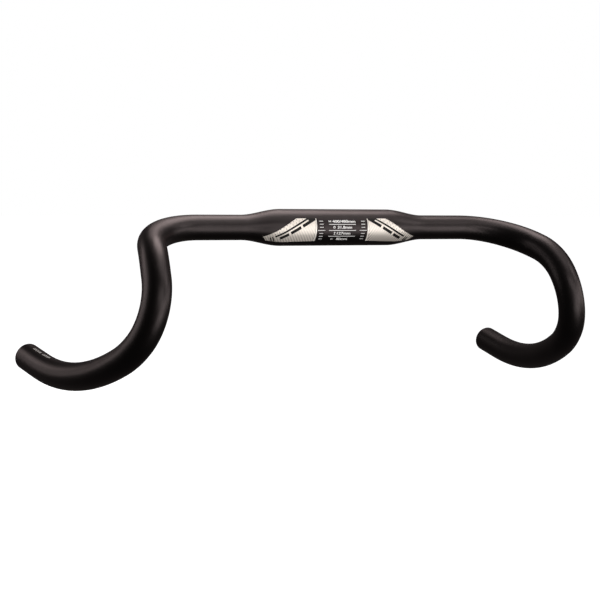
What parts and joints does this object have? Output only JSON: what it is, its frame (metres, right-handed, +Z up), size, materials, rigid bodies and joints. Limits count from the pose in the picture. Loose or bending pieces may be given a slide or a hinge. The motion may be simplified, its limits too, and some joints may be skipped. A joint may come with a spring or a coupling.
{
  "type": "drop handlebar",
  "caption": "Drop handlebar: a swaged, flattened and bent tube with a thicker stem clamp, compact flared hooks and open drop ends.",
  "frame": {"origin": "centre of the stem clamp, on the tube's centre line", "axes": "+X along the tops to the rider's left, -Y straight ahead, +Z up, with the bar set so that its reach is 80 mm"},
  "size_m": [0.5046, 0.2011, 0.1548],
  "materials": {
    "black_tube": "satin",
    "silver_foil": "satin",
    "white_ink": "matte",
    "black_ink": "satin",
    "grey_ink": "matte"
  },
  "bodies": {
    "root": {"bar_tube": "black_tube", "size_table_transfer": "white_ink", "left_tilt_scale_transfer": "white_ink", "right_tilt_scale_transfer": "white_ink", "left_panel_transfer": "silver_foil", "right_panel_transfer": "silver_foil", "right_end_mark_transfer": "grey_ink"}
  },
  "joints": []
}
